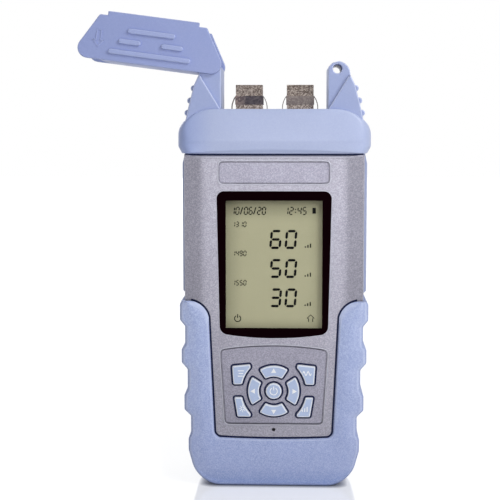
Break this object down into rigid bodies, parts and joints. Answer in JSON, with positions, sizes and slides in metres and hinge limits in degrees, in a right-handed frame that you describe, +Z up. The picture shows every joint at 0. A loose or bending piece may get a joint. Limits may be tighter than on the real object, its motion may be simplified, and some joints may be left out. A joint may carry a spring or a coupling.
{
  "type": "optical power meter",
  "caption": "Handheld fibre power meter: display and keypad on a grey case with blue cap and boot, swinging dust cover over the fibre adapters.",
  "frame": {"origin": "middle of the flat bottom face", "axes": "+Z up along the case, +X to the right of a person facing the display, display faces -Y"},
  "size_m": [0.1359, 0.043, 0.2224],
  "materials": {
    "cap_blue": "smooth satin light blue moulded plastic",
    "boot_blue": "fine-textured light blue elastomer",
    "shell_blue": "light blue moulded plastic",
    "shell_grey": "silver grey paint with fine metallic fleck",
    "bezel_black": "glossy near-black",
    "window_clear": "clear window",
    "display_olive": "grey-green liquid-crystal panel",
    "white_plastic": "white plastic",
    "key_blue": "pale blue keys with white symbols",
    "soft_mat": "soft contact rubber",
    "adapter_metal": "grained stamped metal",
    "spring_steel": "bright spring steel",
    "sleeve_ceramic": "white ceramic",
    "can_metal": "gilt metal can",
    "board_green": "green circuit board",
    "buzzer_black": "black plastic",
    "cell_wrap": "printed metal cell wrap",
    "screw_steel": "zinc-plated steel"
  },
  "bodies": {
    "case": {"adapter_clip_left": "spring_steel", "adapter_clip_right": "spring_steel", "adapter_plate": "spring_steel", "backlight": "white_plastic", "battery_cell_1": "cell_wrap", "battery_cell_2": "cell_wrap", "battery_cell_3": "cell_wrap", "battery_door": "shell_blue", "board_screws": "screw_steel", "bumper_boot": "boot_blue", "buzzer": "buzzer_black", "cap_ear_left": "cap_blue", "cap_ear_right": "cap_blue", "case_screws": "screw_steel", "contact_strip": "soft_mat", "contacts_lower": "spring_steel", "contacts_upper": "spring_steel", "detector_left": "can_metal", "detector_right": "can_metal", "display_bezel": "bezel_black", "display_lens": "window_clear", "door_screw": "screw_steel", "ferrule_sleeve_left": "sleeve_ceramic", "ferrule_sleeve_right": "sleeve_ceramic", "front_shell": "shell_grey", "keypad_mat": "soft_mat", "lcd_panel": "display_olive", "light_clips": "white_plastic", "main_board": "board_green", "plate_screws": "screw_steel", "rear_shell": "shell_blue", "sc_adapter_left": "adapter_metal", "sc_adapter_right": "adapter_metal", "top_cap": "cap_blue"},
    "cover": {"dust_cover": "cap_blue"},
    "key_down": {"key_down": "key_blue"},
    "key_left": {"key_left": "key_blue"},
    "key_lower_left": {"key_lower_left": "key_blue"},
    "key_lower_right": {"key_lower_right": "key_blue"},
    "key_power": {"key_power": "key_blue"},
    "key_right": {"key_right": "key_blue"},
    "key_up": {"key_up": "key_blue"},
    "key_upper_left": {"key_upper_left": "key_blue"},
    "key_upper_right": {"key_upper_right": "key_blue"}
  },
  "joints": [
    {"name": "cover_hinge", "type": "hinge", "parent": "case", "child": "cover", "pos_m": [-0.0291, 0, 0.196], "axis": [0, 1, 0], "range_deg": [0, 172.5]},
    {"name": "key_down_press", "type": "slide", "parent": "case", "child": "key_down", "axis": [0, 1, 0], "range_m": [0, 0.0008], "stiffness_N_per_m": 1000, "springref_m": -0.0005},
    {"name": "key_left_press", "type": "slide", "parent": "case", "child": "key_left", "axis": [0, 1, 0], "range_m": [0, 0.0008], "stiffness_N_per_m": 1000, "springref_m": -0.0005},
    {"name": "key_lower_left_press", "type": "slide", "parent": "case", "child": "key_lower_left", "axis": [0, 1, 0], "range_m": [0, 0.0008], "stiffness_N_per_m": 1000, "springref_m": -0.0005},
    {"name": "key_lower_right_press", "type": "slide", "parent": "case", "child": "key_lower_right", "axis": [0, 1, 0], "range_m": [0, 0.0008], "stiffness_N_per_m": 1000, "springref_m": -0.0005},
    {"name": "key_power_press", "type": "slide", "parent": "case", "child": "key_power", "axis": [0, 1, 0], "range_m": [0, 0.0008], "stiffness_N_per_m": 1000, "springref_m": -0.0005},
    {"name": "key_right_press", "type": "slide", "parent": "case", "child": "key_right", "axis": [0, 1, 0], "range_m": [0, 0.0008], "stiffness_N_per_m": 1000, "springref_m": -0.0005},
    {"name": "key_up_press", "type": "slide", "parent": "case", "child": "key_up", "axis": [0, 1, 0], "range_m": [0, 0.0008], "stiffness_N_per_m": 1000, "springref_m": -0.0005},
    {"name": "key_upper_left_press", "type": "slide", "parent": "case", "child": "key_upper_left", "axis": [0, 1, 0], "range_m": [0, 0.0008], "stiffness_N_per_m": 1000, "springref_m": -0.0005},
    {"name": "key_upper_right_press", "type": "slide", "parent": "case", "child": "key_upper_right", "axis": [0, 1, 0], "range_m": [0, 0.0008], "stiffness_N_per_m": 1000, "springref_m": -0.0005}
  ]
}
